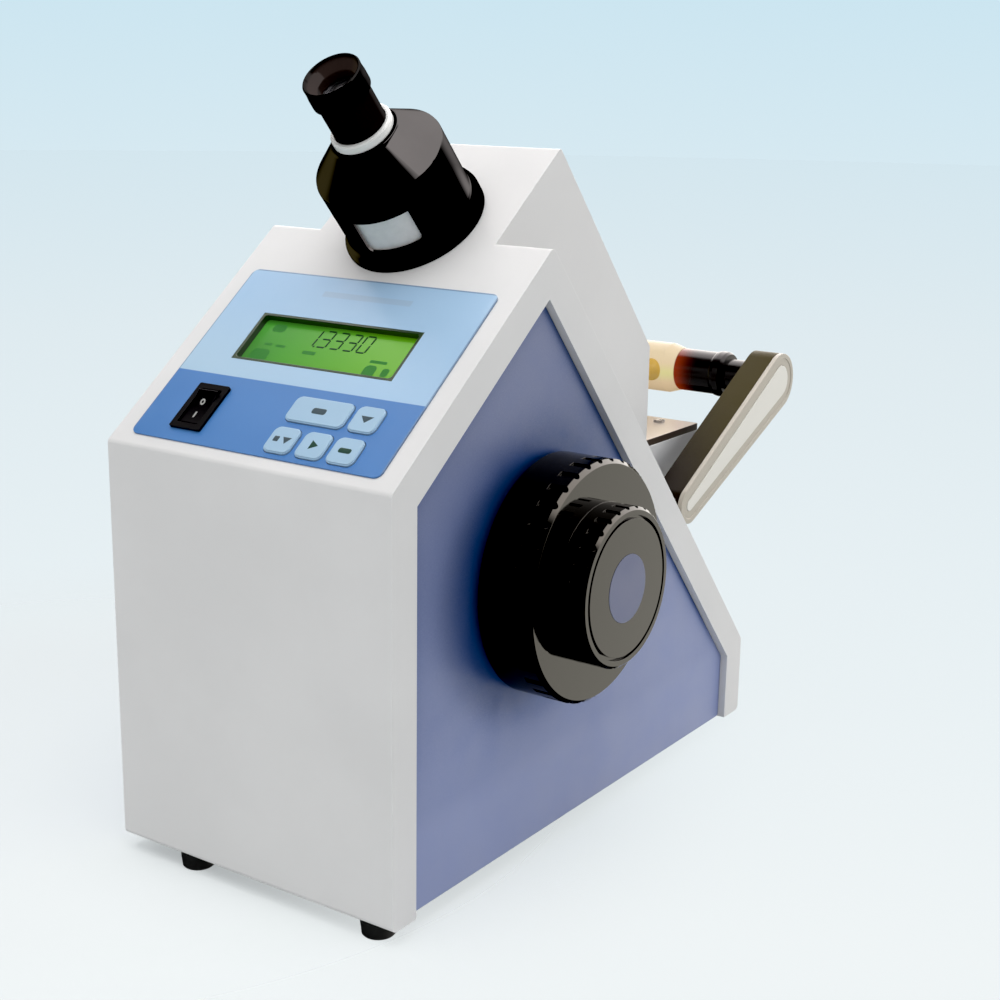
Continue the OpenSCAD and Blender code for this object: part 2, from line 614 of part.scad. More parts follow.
module illuminating_prism() color("lightcyan") between_x(-16.5, 16.5)
    polygon([[118, prism_top + 0.3], [150.5, prism_top + 0.3], [150.5, 214], [142, 214], [118, 192]]);
module lock_knob() color("black") {
    rod_x(134, 206, 2.5, 17.2, 24);
    rod_x(134, 206, 8, lid_x + 0.3, lid_x + 9);
    between_x(lid_x + 0.4, lid_x + 4) polygon([[131, 206], [131, 188], [137, 188], [137, 206]]);
}

// ---- lamp ----
pivot_c = [pivot_y, pivot_z];
lamp_c = pivot_c + arm_l * [cos(arm_deg), sin(arm_deg)];
arm_x = [63.5, 79.5];
low_r = 10.5;
high_r = 16.8;
// Two discs joined by their outer tangents; cut makes the whole shape smaller.
module link(cut) {
    r1 = low_r - cut;
    r2 = high_r - cut;
    b = acos((r1 - r2) / arm_l);
    translate(pivot_c) circle(r1);
    translate(lamp_c) circle(r2);
    lower = [cos(arm_deg - b), sin(arm_deg - b)];
    upper = [cos(arm_deg + b), sin(arm_deg + b)];
    polygon([pivot_c + r1 * lower, lamp_c + r2 * lower, lamp_c + r2 * upper, pivot_c + r1 * upper]);
}
module lamp_arm() color("darkolivegreen") difference() {
    union() {
        difference() {
            between_x(arm_x[0], arm_x[1]) link(0);
            between_x(arm_x[0] + 3, arm_x[1] + 1) link(3);
        }
        rod_x(pivot_y, pivot_z, 7, arm_x[0] + 2, arm_x[1] - 3);
    }
    rod_x(pivot_y, pivot_z, 4 + fit, 60, 90);
    rod_x(lamp_c[0], lamp_c[1], 6 + fit, 60, 90);
}
plate_x = arm_x[1] + 2.7;
inlay_cut = 7.2;
module arm_rim_plate() color("tan") difference() {
    between_x(arm_x[1], plate_x) link(0);
    between_x(plate_x - 0.5, plate_x + 1) link(2.8);
    between_x(plate_x - 1.4, plate_x + 1) link(inlay_cut - 0.15);
}
module arm_inlay() color("ivory") between_x(plate_x - 1.4, plate_x - 0.2) link(inlay_cut);
module arm_pivot_pin() color("silver") {
    rod_x(pivot_y, pivot_z, 4, upper_w / 2 + 0.2, arm_x[1] - 2.8);
    rod_x(pivot_y, pivot_z, 6.5, arm_x[1] - 2.8, arm_x[1] - 0.5);
}
window_r = 7;     // radius of the side window that the light leaves by
tube_bore = 11 - 0.05;
module lamp_tube() color("black") about_x(lamp_c[0], lamp_c[1]) rotate_extrude() polygon([
    [0, 42], [11, 42], [11, 15], [12.6, 15], [tube_r, 15.6], [tube_r, 39], [13.6, 40], [14, 42],
    [13.8, 45.5], [12.6, 47.5], [9.8, 47.8], [9.8, 63.3], [6, 63.3], [6, 66.8], [8.5, 66.8],
    [8.5, 69.5], [0, 69.5]]);
module opal_sleeve() color("wheat") about_x(lamp_c[0], lamp_c[1]) difference() {
    rotate_extrude() polygon([
        [0, -14], [14.6, -14], [15.4, -13], [15.4, 7.5], [13.2, 15], [tube_bore, 15], [tube_bore, 24],
        [9.5, 24], [9.5, 14], [12.4, 9], [12.4, -11.5], [0, -11.5]]);
    rotate([90, 0, 0]) cylinder(r = window_r, h = 30);
}
module condenser_lens() color("lightcyan") translate([0, lamp_c[0] - 14, lamp_c[1]]) rotate([90, 0, 0])
    lens(window_r - 0.1, 7);
module lamp_bulb() color("ivory") about_x(lamp_c[0], lamp_c[1]) {
    translate([0, 0, 26]) sphere(4);
    translate([0, 0, 26]) cylinder(r = 4, h = 12);
    translate([0, 0, 37]) cylinder(r = 10.9, h = 4.9);
}

main_casing();
side_panel_right();
side_panel_left();
base_plate();
rubber_feet();
control_overlay();
lcd_bezel();
lcd_panel();
display_board();
key_read();
key_scale();
key_left();
key_middle();
key_right();
rocker_bezel();
power_rocker();
main_board();
transformer();
power_inlet();
serial_socket();
optical_bench();
handwheel();
handwheel_cap();
handwheel_shaft();
shaft_bush();
pinion();
sector_gear();
mirror_shaft();
scan_mirror();
encoder_disc();
fold_mirror();
telescope_tube();
objective_lens();
dispersion_cup();
dispersion_wheel();
amici_prism_front();
amici_prism_rear();
reversing_idler();
trim_ring();
eyepiece_barrel();
eyecup();
eye_lens_cell();
prism_box();
prism_table();
table_screws();
measuring_prism();
hose_nipples();
temperature_probe();
prism_hinge_pin();
upper_prism_box();
illuminating_prism();
lock_knob();
lamp_arm();
arm_rim_plate();
arm_inlay();
arm_pivot_pin();
lamp_tube();
opal_sleeve();
condenser_lens();
lamp_bulb();
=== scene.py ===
"""Looks for a bench Abbe refractometer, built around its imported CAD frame.

Metres, +Z up. The control slope faces -Y and the handwheel is on +X.
Places come from the frame's boxes and joints.
"""

import json
import math

import bmesh
import bpy
from mathutils import Matrix, Vector


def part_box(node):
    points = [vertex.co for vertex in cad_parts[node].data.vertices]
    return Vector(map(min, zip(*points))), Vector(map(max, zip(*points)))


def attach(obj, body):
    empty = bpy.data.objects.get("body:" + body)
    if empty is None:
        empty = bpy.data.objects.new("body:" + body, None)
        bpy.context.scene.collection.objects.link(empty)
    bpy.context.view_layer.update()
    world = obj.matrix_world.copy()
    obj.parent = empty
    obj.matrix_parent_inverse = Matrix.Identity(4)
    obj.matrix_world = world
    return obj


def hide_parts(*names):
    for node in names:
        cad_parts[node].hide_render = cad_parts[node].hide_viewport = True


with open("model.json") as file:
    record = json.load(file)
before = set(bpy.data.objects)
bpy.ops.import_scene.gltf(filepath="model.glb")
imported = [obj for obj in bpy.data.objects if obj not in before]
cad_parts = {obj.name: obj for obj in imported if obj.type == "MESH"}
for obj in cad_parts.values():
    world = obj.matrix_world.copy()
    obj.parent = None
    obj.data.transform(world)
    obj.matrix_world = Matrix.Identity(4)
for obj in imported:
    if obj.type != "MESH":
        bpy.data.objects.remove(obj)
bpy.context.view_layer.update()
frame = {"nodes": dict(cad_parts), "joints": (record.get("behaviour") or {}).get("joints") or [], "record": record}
NODES = frame["nodes"]
JOINTS = {j["name"]: j for j in frame["joints"]}
MM = 0.001
BLACK = (0, 0, 0)
ENAMEL_LOW = (0.0006, 0.0005, 0.0004)


# ---------------------------------------------------------------- local frames

def axes_at(origin, x, z):
    """A matrix whose columns are x, z cross x and z, placed at origin."""
    x, z = Vector(x).normalized(), Vector(z).normalized()
    y = z.cross(x)
    m = Matrix((x, y, z)).transposed().to_4x4()
    m.translation = Vector(origin)
    return m


def box_in(node, matrix):
    """Lowest and highest corner of a CAD node in a local frame."""
    inverse = matrix.inverted()
    points = [inverse @ v.co for v in NODES[node].data.vertices]
    low = Vector([min(p[i] for p in points) for i in range(3)])
    high = Vector([max(p[i] for p in points) for i in range(3)])
    return low, high


X = Vector((1, 0, 0))
key_axis = Vector(JOINTS["read_key_press"]["axis"])
slope_turn = axes_at((0, 0, 0), X, -key_axis)
overlay_low, overlay_high = box_in("control_overlay", slope_turn)
# Local frame of the control slope: X across, Y up the slope, Z out of it, from the overlay's lower edge.
SLOPE = slope_turn @ Matrix.Translation((0, overlay_low.y, overlay_low.z))
sight_joint = JOINTS["focus_turn"]
SIGHT = axes_at(JOINTS["dispersion_turn"]["pos_m"], X, sight_joint["axis"])
cup_high = box_in("dispersion_cup", SIGHT)[1]
# Heights on the sight line where the cup's foot flange ends and where its painted side highlight starts and stops.
FLANGE_TOP = cup_high.z - 51 * MM
STRIP_FOOT = cup_high.z - 47 * MM
STRIP_TOP = cup_high.z - 16 * MM
BORE = 13 * MM
LAMP_C = Vector(JOINTS["lamp_turn"]["pos_m"])


# ---------------------------------------------------------------- materials

class Shader:
    """A short way to write a node material: every call adds a node and returns its output socket."""

    def __init__(self, name):
        self.material = bpy.data.materials.new(name)
        self.material.use_nodes = True
        self.tree = self.material.node_tree
        self.bsdf = self.tree.nodes["Principled BSDF"]
        self.place = self.add("ShaderNodeTexCoord").outputs["Object"]

    def add(self, kind, **settings):
        node = self.tree.nodes.new(kind)
        for key, value in settings.items():
            setattr(node, key, value)
        return node

    def put(self, socket, value):
        if isinstance(value, bpy.types.NodeSocket):
            self.tree.links.new(value, socket)
        elif isinstance(value, (tuple, list)) and socket.type == "RGBA":
            socket.default_value = (*value[:3], 1)
        else:
            socket.default_value = value

    def set(self, **inputs):
        for key, value in inputs.items():
            self.put(self.bsdf.inputs[key.replace("_", " ")], value)
        return self

    def math(self, operation, a, b=0.0, c=0.0):
        node = self.add("ShaderNodeMath", operation=operation)
        for socket, value in zip(node.inputs, (a, b, c)):
            self.put(socket, value)
        return node.outputs[0]

    def dot(self, vector, direction):
        node = self.add("ShaderNodeVectorMath", operation="DOT_PRODUCT")
        self.put(node.inputs[0], vector)
        node.inputs[1].default_value = direction
        return node.outputs["Value"]

    def step(self, value, start, end, low=0.0, high=1.0):
        """A smooth step of value between start and end."""
        node = self.add("ShaderNodeMapRange", interpolation_type="SMOOTHSTEP")
        for socket, number in zip(node.inputs, (value, start, end, low, high)):
            self.put(socket, number)
        return node.outputs[0]

    def mix(self, factor, a, b):
        node = self.add("ShaderNodeMix", data_type="RGBA")
        self.put(node.inputs["Factor"], factor)
        self.put(node.inputs["A"], a)
        self.put(node.inputs["B"], b)
        return node.outputs["Result"]

    def dim(self, color, share):
        return self.mix(share, BLACK, color)

    def noise(self, scale, detail=3.0, stretch=(1, 1, 1)):
        mapping = self.add("ShaderNodeMapping")
        mapping.inputs["Scale"].default_value = stretch
        self.put(mapping.inputs["Vector"], self.place)
        node = self.add("ShaderNodeTexNoise")
        self.put(node.inputs["Vector"], mapping.outputs[0])
        node.inputs["Scale"].default_value = scale
        node.inputs["Detail"].default_value = detail
        return node.outputs["Fac"]

    def bump(self, height, strength, distance=0.0002):
        node = self.add("ShaderNodeBump")
        node.inputs["Strength"].default_value = strength
        node.inputs["Distance"].default_value = distance
        self.put(node.inputs["Height"], height)
        self.put(self.bsdf.inputs["Normal"], node.outputs[0])
        return self

    def coordinate(self, matrix, axis):
        """One coordinate of the surface point in a local frame."""
        inverse = matrix.inverted()
        row = inverse[axis]
        return self.math("ADD", self.dot(self.place, row[:3]), row[3])

    def edges(self, radius):
        """Nearly 1 on sharp edges and 0 on open faces."""
        bevel = self.add("ShaderNodeBevel", samples=4)
        bevel.inputs["Radius"].default_value = radius
        normal = self.add("ShaderNodeNewGeometry").outputs["Normal"]
        product = self.add("ShaderNodeVectorMath", operation="DOT_PRODUCT")
        self.put(product.inputs[0], bevel.outputs[0])
        self.put(product.inputs[1], normal)
        return self.step(product.outputs["Value"], 0.995, 0.9)


def darker(color, share):
    return tuple(c * share for c in color)


EDGE_RADIUS = 0.6 * MM
# How far ambient occlusion looks when it places painted shade.
HALO = 75 * MM


def paint(name, color, rough=0.4, grain=900, depth=0.12, mottle=0.96, edge=1.06, coat=0.0, level=0.25,
          painted_shade=None, fade=None):
    """Sprayed paint: orange-peel grain, mottling and sharp edges drawn lighter.

    deep is the colour of painted shade, put where ambient occlusion finds nearby surfaces; fade is (start, end,
    share), painted shade that darkens the colour with height.
    """
    s = Shader(name)
    tone = s.mix(s.step(s.noise(14, 5), 0.35, 0.7), darker(color, mottle), color)
    # Sharp edges are drawn lighter by the edge factor.
    tone = s.mix(s.edges(EDGE_RADIUS), tone, darker(color, edge))
    height = s.dot(s.place, (0, 0, 1)) if fade else None
    # Painted shade: near other surfaces the colour turns to the given shade colour.
    if painted_shade:
        open_sky = s.add("ShaderNodeAmbientOcclusion", samples=8)
        open_sky.inputs["Distance"].default_value = HALO
        unshaded = s.step(open_sky.outputs["AO"], 0.62, 0.97)
        if fade:
            # The floor's nearness doesn't add painted shade.
            near_floor = s.step(height, 100 * MM, 40 * MM)
            unshaded = s.math("MAXIMUM", unshaded, near_floor)
        tone = s.mix(unshaded, painted_shade, tone)
    # Painted shade: the colour darkens with height.
    if fade:
        start, end, share = fade
        tone = s.mix(s.step(height, start, end, 0, 1 - share), tone, BLACK)
    wear = s.step(s.noise(55, 6), 0.3, 0.8, rough - 0.05, rough + 0.08)
    s.set(Base_Color=tone, Roughness=wear, Coat_Weight=coat, Coat_Roughness=0.15, Specular_IOR_Level=level)
    return s.bump(s.noise(grain, 2), depth)


def gloss(name, color, rough=0.16, ior=1.5, grain=350, depth=0.03, dust=0.004, tint=(1, 1, 1)):
    """Glossy moulded plastic or enamel, with faint dust and rub marks in its roughness."""
    s = Shader(name)
    tone = s.mix(s.step(s.noise(90, 8), 0.45, 0.8), color, tuple(c + dust for c in color))
    rub = s.step(s.noise(30, 8, (1, 1, 5)), 0.35, 0.8, rough, rough + 0.08)
    s.set(Base_Color=tone, Roughness=rub, IOR=ior, Specular_Tint=tint)
    return s.bump(s.noise(grain, 2), depth)


def eyepiece_enamel(name, shine, inner=None):
    """Black enamel with painted reflections: an emission worked out from the mirror direction stands in for its
    gloss, and its real specular is off.

    The painted reflections show a window overhead, one behind the instrument, a strip down the right side and a
    warm left edge.
    inner is the colour of the surfaces inside the eyecup's bore.
    """
    s = Shader(name)
    mirror = s.add("ShaderNodeTexCoord").outputs["Reflection"]
    high_window = s.step(s.dot(mirror, (0.5, 0.1, 0.86)), 0.75, 0.83)
    rear_window = s.step(s.dot(mirror, (-0.2, 0.7, 0.68)), 0.68, 0.90)
    window = s.math("MAXIMUM", high_window, rear_window)
    along = s.coordinate(SIGHT, 2)
    strip = s.step(s.dot(mirror, (-0.05, 0.99, -0.08)), 0.93, 0.99)
    strip = s.math("MULTIPLY", strip, s.step(along, STRIP_TOP, STRIP_FOOT))
    window = s.math("MAXIMUM", window, strip)
    window = s.math("MULTIPLY", window, s.step(along, FLANGE_TOP, FLANGE_TOP + 0.5 * MM))
    edge = s.step(s.dot(mirror, (-1.0, 0.1, 0.0)), 0.88, 1.0)
    streak = s.step(s.noise(40, 4), 0.3, 0.7, 0.92, 1.0)
    # Painted reflection colours: grey for the windows and the strip, warm brown for the left edge.
    glow = s.mix(window, BLACK, darker((0.285, 0.262, 0.258), shine))
    glow = s.mix(s.math("MULTIPLY", edge, shine), glow, (0.045, 0.036, 0.014))
    tone = s.mix(s.step(s.noise(90, 8), 0.45, 0.8), ENAMEL_LOW, (0.002, 0.0018, 0.0015))
    if inner:
        across = s.coordinate(SIGHT, 0)
        up = s.coordinate(SIGHT, 1)
        square = s.math("ADD", s.math("MULTIPLY", across, across), s.math("MULTIPLY", up, up))
        tone = s.mix(s.step(square, (BORE + 0.4 * MM) ** 2, (BORE - 0.4 * MM) ** 2), tone, inner)
    s.set(Base_Color=tone, Roughness=0.4, Specular_IOR_Level=0.0)
    s.set(Emission_Color=glow, Emission_Strength=streak)
    return s.bump(s.noise(350, 2), 0.03)


def wheel_enamel(name):
    """Black enamel, polished on the faces across the axle and matt on the sides."""
    s = Shader(name)
    axial = s.dot(s.add("ShaderNodeNewGeometry").outputs["Normal"], (1, 0, 0))
    tone = s.mix(s.step(s.noise(90, 8), 0.45, 0.8), ENAMEL_LOW, (0.0018, 0.0017, 0.0016))
    rub = s.step(s.noise(30, 8, (1, 1, 5)), 0.35, 0.8, 0.035, 0.075)
    s.set(Base_Color=tone, Roughness=rub, IOR=1.43, Specular_Tint=(1, 0.96, 0.86))
    s.set(Specular_IOR_Level=s.step(axial, 0.2, 0.8, 0.04, 0.55))
    return s.bump(s.noise(350, 2), 0.015)


def metal(name, color, rough=0.3, stretch=(1, 1, 1), depth=0.06, scale=600):
    """Machined or brushed metal: fine lines along the stretched axis."""
    s = Shader(name)
    lines = s.noise(scale, 4, stretch)
    tone = s.mix(lines, darker(color, 0.82), color)
    s.set(Base_Color=tone, Metallic=1.0, Roughness=s.step(lines, 0.2, 0.8, rough - 0.06, rough + 0.1))
    return s.bump(lines, depth)


def turned(name, color, matrix, rough=0.28, pitch=0.0004, metallic=1.0):
    """Metal turned on a lathe: fine grooves round an axis."""
    s = Shader(name)
    along = s.coordinate(matrix, 2)
    lines = s.math("SINE", s.math("MULTIPLY", along, 2 * math.pi / pitch))
    streaks = s.noise(240, 4)
    tone = s.mix(streaks, darker(color, 0.8), color)
    s.set(Base_Color=tone, Metallic=metallic, Roughness=s.step(streaks, 0.2, 0.8, rough - 0.05, rough + 0.1))
    return s.bump(lines, 0.15, 0.00003)


def rubber(name):
    s = Shader(name)
    tone = s.mix(s.noise(220, 6), (0.006, 0.006, 0.006), (0.02, 0.02, 0.019))
    s.set(Base_Color=tone, Roughness=0.75)
    return s.bump(s.noise(1500, 3), 0.25)


def glass(name, color, rough=0.02):
    s = Shader(name)
    s.set(Base_Color=color, Transmission_Weight=1.0, IOR=1.52)
    s.set(Roughness=s.step(s.noise(60, 6), 0.4, 0.9, rough, rough + 0.05))
    return s


def board(name, color):
    """Solder mask with faint copper tracks under it."""
    s = Shader(name)
    wave = s.add("ShaderNodeTexWave", wave_type="BANDS", bands_direction="Z")
    wave.inputs["Scale"].default_value = 90
    wave.inputs["Distortion"].default_value = 3
    s.put(wave.inputs["Vector"], s.place)
    tone = s.mix(s.step(wave.outputs["Fac"], 0.75, 0.85), color, darker(color, 1.9))
    s.set(Base_Color=tone, Roughness=0.35)
    return s.bump(wave.outputs["Fac"], 0.2)


def overlay_print(name):
    """The printed film: light blue above, mid blue below, a thin dark band along its sides and top, and a plain
    pale band.
    """
    s = Shader(name)
    across = s.coordinate(SLOPE, 0)
    up = s.coordinate(SLOPE, 1)
    width = overlay_high.x - overlay_low.x
    length = overlay_high.y - overlay_low.y
    split = length * 0.375
    blur = 0.2 * MM
    light = s.mix(s.step(up, split, length), (0.44, 0.63, 0.80), (0.36, 0.56, 0.79))
    light = s.mix(s.step(across, -width / 2, width / 2), light, (0.40, 0.60, 0.82))
    mid = s.mix(s.step(s.noise(20, 4), 0.3, 0.7), (0.066, 0.232, 0.580), (0.076, 0.25, 0.605))
    tone = s.mix(s.step(up, split - blur, split + blur), s.dim(mid, 0.76), s.dim(light, 0.86))
    # A plain band stands where a name would be.
    centre_x, centre_up = width * 0.03, length * 0.895
    in_x = s.step(s.math("ABSOLUTE", s.math("SUBTRACT", across, centre_x)), 27.5 * MM, 26.5 * MM)
    in_up = s.step(s.math("ABSOLUTE", s.math("SUBTRACT", up, centre_up)), 2.2 * MM, 1.4 * MM)
    tone = s.mix(s.math("MULTIPLY", s.math("MULTIPLY", in_x, in_up), 0.35), tone, (0.30, 0.36, 0.46))
    # A thin dark band along the sides and the top edge.
    side = s.step(s.math("ABSOLUTE", across), width / 2 - 0.9 * MM, width / 2 - 0.3 * MM)
    top = s.step(up, length - 1.2 * MM, length - 0.5 * MM)
    outline = s.math("MAXIMUM", side, top)
    tone = s.mix(s.math("MULTIPLY", outline, 0.75), tone, (0.12, 0.19, 0.32))
    s.set(Base_Color=tone, Roughness=s.step(s.noise(80, 5), 0.3, 0.8, 0.38, 0.5), Coat_Weight=0.15)
    return s.bump(s.noise(1400, 2), 0.08)


def display_glow(name):
    """A back-lit liquid crystal display, yellower at its right end and shaded at its upper edge."""
    s = Shader(name)
    low, high = box_in("lcd_panel", SLOPE)
    across = s.coordinate(SLOPE, 0)
    up = s.coordinate(SLOPE, 1)
    tone = s.mix(s.step(across, low.x, high.x), (0.085, 0.43, 0.045), (0.17, 0.55, 0.015))
    tone = s.mix(s.step(s.noise(45, 2), 0.55, 0.75, 0, 0.5), tone, (0.10, 0.36, 0.05))
    left_low = s.math("MULTIPLY", s.step(across, low.x + 30 * MM, low.x), s.step(up, high.y, low.y))
    tone = s.mix(s.math("MULTIPLY", left_low, 0.5), tone, (0.05, 0.20, 0.04))
    shade = s.step(up, high.y - 6 * MM, high.y - 1 * MM, 1, 0.35)
    s.set(Base_Color=s.dim(tone, 0.3), Roughness=0.2, Coat_Weight=0.2)
    s.set(Emission_Color=tone, Emission_Strength=s.math("MULTIPLY", shade, 0.44))
    return s


def table_enamel(name):
    """Cream enamel on top; the plate's edge is dark."""
    s = Shader(name)
    normal = s.add("ShaderNodeNewGeometry").outputs["Normal"]
    upward = s.step(s.dot(normal, (0, 0, 1)), 0.3, 0.7)
    cream = s.mix(s.noise(60, 6), (0.56, 0.47, 0.385), (0.63, 0.535, 0.45))
    tone = s.mix(upward, (0.035, 0.022, 0.015), cream)
    s.set(Base_Color=tone, Roughness=0.3, Coat_Weight=0.2)
    return s.bump(s.noise(500, 3), 0.08)


def warm_tube(name):
    """Black enamel with a painted red and orange glow, in emission and base colour, close to the lamp's opal
    sleeve.
    """
    s = Shader(name)
    end_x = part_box("lamp_tube")[0].x
    split = s.add("ShaderNodeSeparateXYZ")
    s.put(split.inputs[0], s.place)
    # Painted glow: red and orange, strongest at the tube's end by the lamp.
    glow = s.step(split.outputs["X"], end_x + 16 * MM, end_x)
    hue = s.mix(glow, (0.25, 0.01, 0.0), (0.55, 0.06, 0.01))
    s.set(Base_Color=s.mix(glow, (0.003, 0.002, 0.002), (0.05, 0.006, 0.002)), Specular_IOR_Level=0.16)
    s.set(Roughness=s.step(s.noise(70, 5), 0.3, 0.8, 0.16, 0.26))
    s.set(Emission_Color=hue, Emission_Strength=s.math("MULTIPLY", s.math("MULTIPLY", glow, glow), 0.35))
    return s.bump(s.noise(500, 2), 0.03)


def opal(name):
    """Opal glass lit from inside: creamy, brighter and yellower in the middle."""
    s = Shader(name)
    low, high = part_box("opal_sleeve")
    split = s.add("ShaderNodeSeparateXYZ")
    s.put(split.inputs[0], s.place)
    height = s.step(split.outputs["Z"], low.z, high.z)
    tone = s.mix(height, (1.0, 0.74, 0.45), (1.0, 0.86, 0.60))
    off_axis = s.math("ABSOLUTE", s.math("SUBTRACT", split.outputs["Z"], LAMP_C.z - 1 * MM))
    middle = s.step(off_axis, 7 * MM, 0.0)
    tone = s.mix(middle, tone, (0.96, 0.93, 0.42))
    facing = s.add("ShaderNodeLayerWeight")
    facing.inputs["Blend"].default_value = 0.35
    level = s.step(facing.outputs["Facing"], 0.0, 1.0, 0.54, 0.30)
    s.set(Base_Color=(0.26, 0.19, 0.11), Roughness=0.3, Specular_IOR_Level=0.1)
    s.set(Emission_Color=tone, Emission_Strength=level)
    return s


# Condenser glass with a painted amber glow: an emission stands in for the lamp's light coming through it.
def amber(name):
    s = Shader(name)
    s.set(Base_Color=s.mix(s.noise(300, 3), (0.50, 0.30, 0.06), (0.62, 0.40, 0.10)), Roughness=0.12)
    s.set(Emission_Color=(0.62, 0.40, 0.08), Emission_Strength=0.22)
    return s


MAT = {
    "casing": paint("casing_paint", (0.755, 0.747, 0.742), rough=0.40, edge=1.08, level=0.15),
    # The side panels get a deep blue painted shadow round the handwheel and painted shade that darkens with
    # height.
    "panel": paint(
        "panel_paint", (0.235, 0.283, 0.495), rough=0.42, edge=1.0, level=0.4, painted_shade=(0.001, 0.055, 0.25),
        fade=(0.02, 0.25, 0.68)),
    "plate": paint("plate_paint", (0.07, 0.072, 0.078), rough=0.6),
    "rubber": rubber("foot_rubber"),
    "overlay": overlay_print("overlay_film"),
    "bezel": gloss("bezel_plastic", (0.012, 0.035, 0.008), rough=0.3),
    "display": display_glow("display_glow"),
    "board": board("solder_mask", (0.02, 0.10, 0.04)),
    "key": gloss("key_plastic", (0.33, 0.49, 0.64), rough=0.36, ior=1.45, grain=900, depth=0.08),
    "switch": gloss("switch_plastic", (0.0008, 0.0006, 0.0012), rough=0.4, ior=1.12, dust=0.0015),
    "connector": paint("connector_plastic", (0.012, 0.012, 0.012), rough=0.5),
    "core": paint("core_varnish", (0.16, 0.10, 0.05), rough=0.35, coat=0.4),
    "bench": metal("bench_casting", (0.45, 0.46, 0.48), rough=0.45),
    "steel": metal("bright_steel", (0.62, 0.62, 0.64), rough=0.25, stretch=(1, 8, 8)),
    "brass": metal("brass", (0.62, 0.42, 0.14), rough=0.28),
    "mirror": metal("silvered_glass", (0.88, 0.90, 0.93), rough=0.08, depth=0.0),
    "glass": glass("optic_glass", (0.93, 0.98, 0.99)),
    "black": gloss("black_enamel", ENAMEL_LOW, rough=0.13, ior=1.42, dust=0.0012, tint=(1, 0.95, 0.85)),
    "wheel_silver": turned("turned_aluminium", (0.85, 0.84, 0.82), SIGHT, rough=0.5, metallic=0.2),
    "wheel": wheel_enamel("wheel_enamel"),
    "cup": eyepiece_enamel("cup_enamel", shine=0.68),
    "barrel": eyepiece_enamel("barrel_enamel", shine=0.12, inner=(0.035, 0.023, 0.020)),
    "cap": paint("cap_enamel", (0.15, 0.165, 0.26), rough=0.45, mottle=0.97, edge=1.0),
    "ring": gloss("ring_enamel", (0.82, 0.82, 0.80), rough=0.22),
    "prism_metal": paint("prism_box_enamel", (0.78, 0.78, 0.79), rough=0.35, coat=0.2, edge=1.1),
    "table": table_enamel("table_enamel"),
    # The arm gets dark brown painted shade in its corners.
    "arm": paint("arm_enamel", (0.040, 0.031, 0.006), edge=1.3, level=0.03, painted_shade=(0.006, 0.003, 0.001)),
    "rim": gloss("rim_enamel", (0.48, 0.44, 0.375), rough=0.3, ior=1.3),
    "inlay": gloss("inlay_plastic", (0.78, 0.76, 0.70), rough=0.35, ior=1.3),
    "tube": warm_tube("tube_enamel"),
    "opal": opal("opal_glass"),
    "amber": amber("condenser_glass"),
    "mark": gloss("print_slate", (0.05, 0.075, 0.09), rough=0.5, ior=1.2),
    "mark_green": gloss("print_green", (0.012, 0.045, 0.03), rough=0.5, ior=1.2),
    "mark_white": gloss("print_white", (0.36, 0.36, 0.35), rough=0.5, ior=1.2),
    "segment": gloss("display_segment", (0.01, 0.05, 0.012), rough=0.5, ior=1.2),
    "ghost": gloss("display_ghost", (0.04, 0.20, 0.035), rough=0.5, ior=1.2),
}
MATERIAL_OF = {
    "casing": ["main_casing"],
    "panel": ["side_panel_right", "side_panel_left"],
    "plate": ["base_plate"],
    "rubber": ["rubber_feet"],
    "overlay": ["control_overlay"],
    "bezel": ["lcd_bezel"],
    "display": ["lcd_panel"],
    "board": ["display_board", "main_board"],
    "key": ["key_read", "key_scale", "key_left", "key_middle", "key_right"],
    "switch": ["rocker_bezel", "power_rocker"],
    "connector": ["power_inlet", "temperature_probe"],
    "core": ["transformer"],
    "bench": ["optical_bench", "encoder_disc", "eye_lens_cell"],
    "steel": [
        "serial_socket", "handwheel_shaft", "mirror_shaft", "table_screws", "hose_nipples",
        "prism_hinge_pin", "arm_pivot_pin",
    ],
    "brass": ["shaft_bush", "pinion", "sector_gear", "reversing_idler"],
    "mirror": ["scan_mirror", "fold_mirror"],
    "glass": [
        "objective_lens", "amici_prism_front", "amici_prism_rear", "measuring_prism", "illuminating_prism",
    ],
    "amber": ["condenser_lens"],
    "black": ["telescope_tube", "lock_knob"],
    "wheel": ["handwheel"],
    "cup": ["dispersion_cup"],
    "barrel": ["eyepiece_barrel", "eyecup"],
    "wheel_silver": ["dispersion_wheel"],
    "cap": ["handwheel_cap"],
    "ring": ["trim_ring"],
    "prism_metal": ["prism_box", "upper_prism_box"],
    "table": ["prism_table"],
    "arm": ["lamp_arm"],
    "rim": ["arm_rim_plate"],
    "inlay": ["arm_inlay"],
    "tube": ["lamp_tube"],
    "opal": ["opal_sleeve", "lamp_bulb"],
}
BODY_OF = {n: b for b, members in frame["record"]["behaviour"]["bodies"].items() for n in members}
for key, members in MATERIAL_OF.items():
    for member in members:
        NODES[member].data.materials.clear()
        NODES[member].data.materials.append(MAT[key].material)


# ---------------------------------------------------------------- mesh helpers

def piece(name, mesh, material, body):
    """A new object of the model, riding on a body."""
    obj = bpy.data.objects.new(name, mesh)
    bpy.context.scene.collection.objects.link(obj)
    mesh.materials.clear()
    mesh.materials.append(MAT[material].material)
    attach(obj, body)
    return obj


def mesh_of(bm, name):
    mesh = bpy.data.meshes.new(name)
    bm.to_mesh(mesh)
    bm.free()
    return mesh


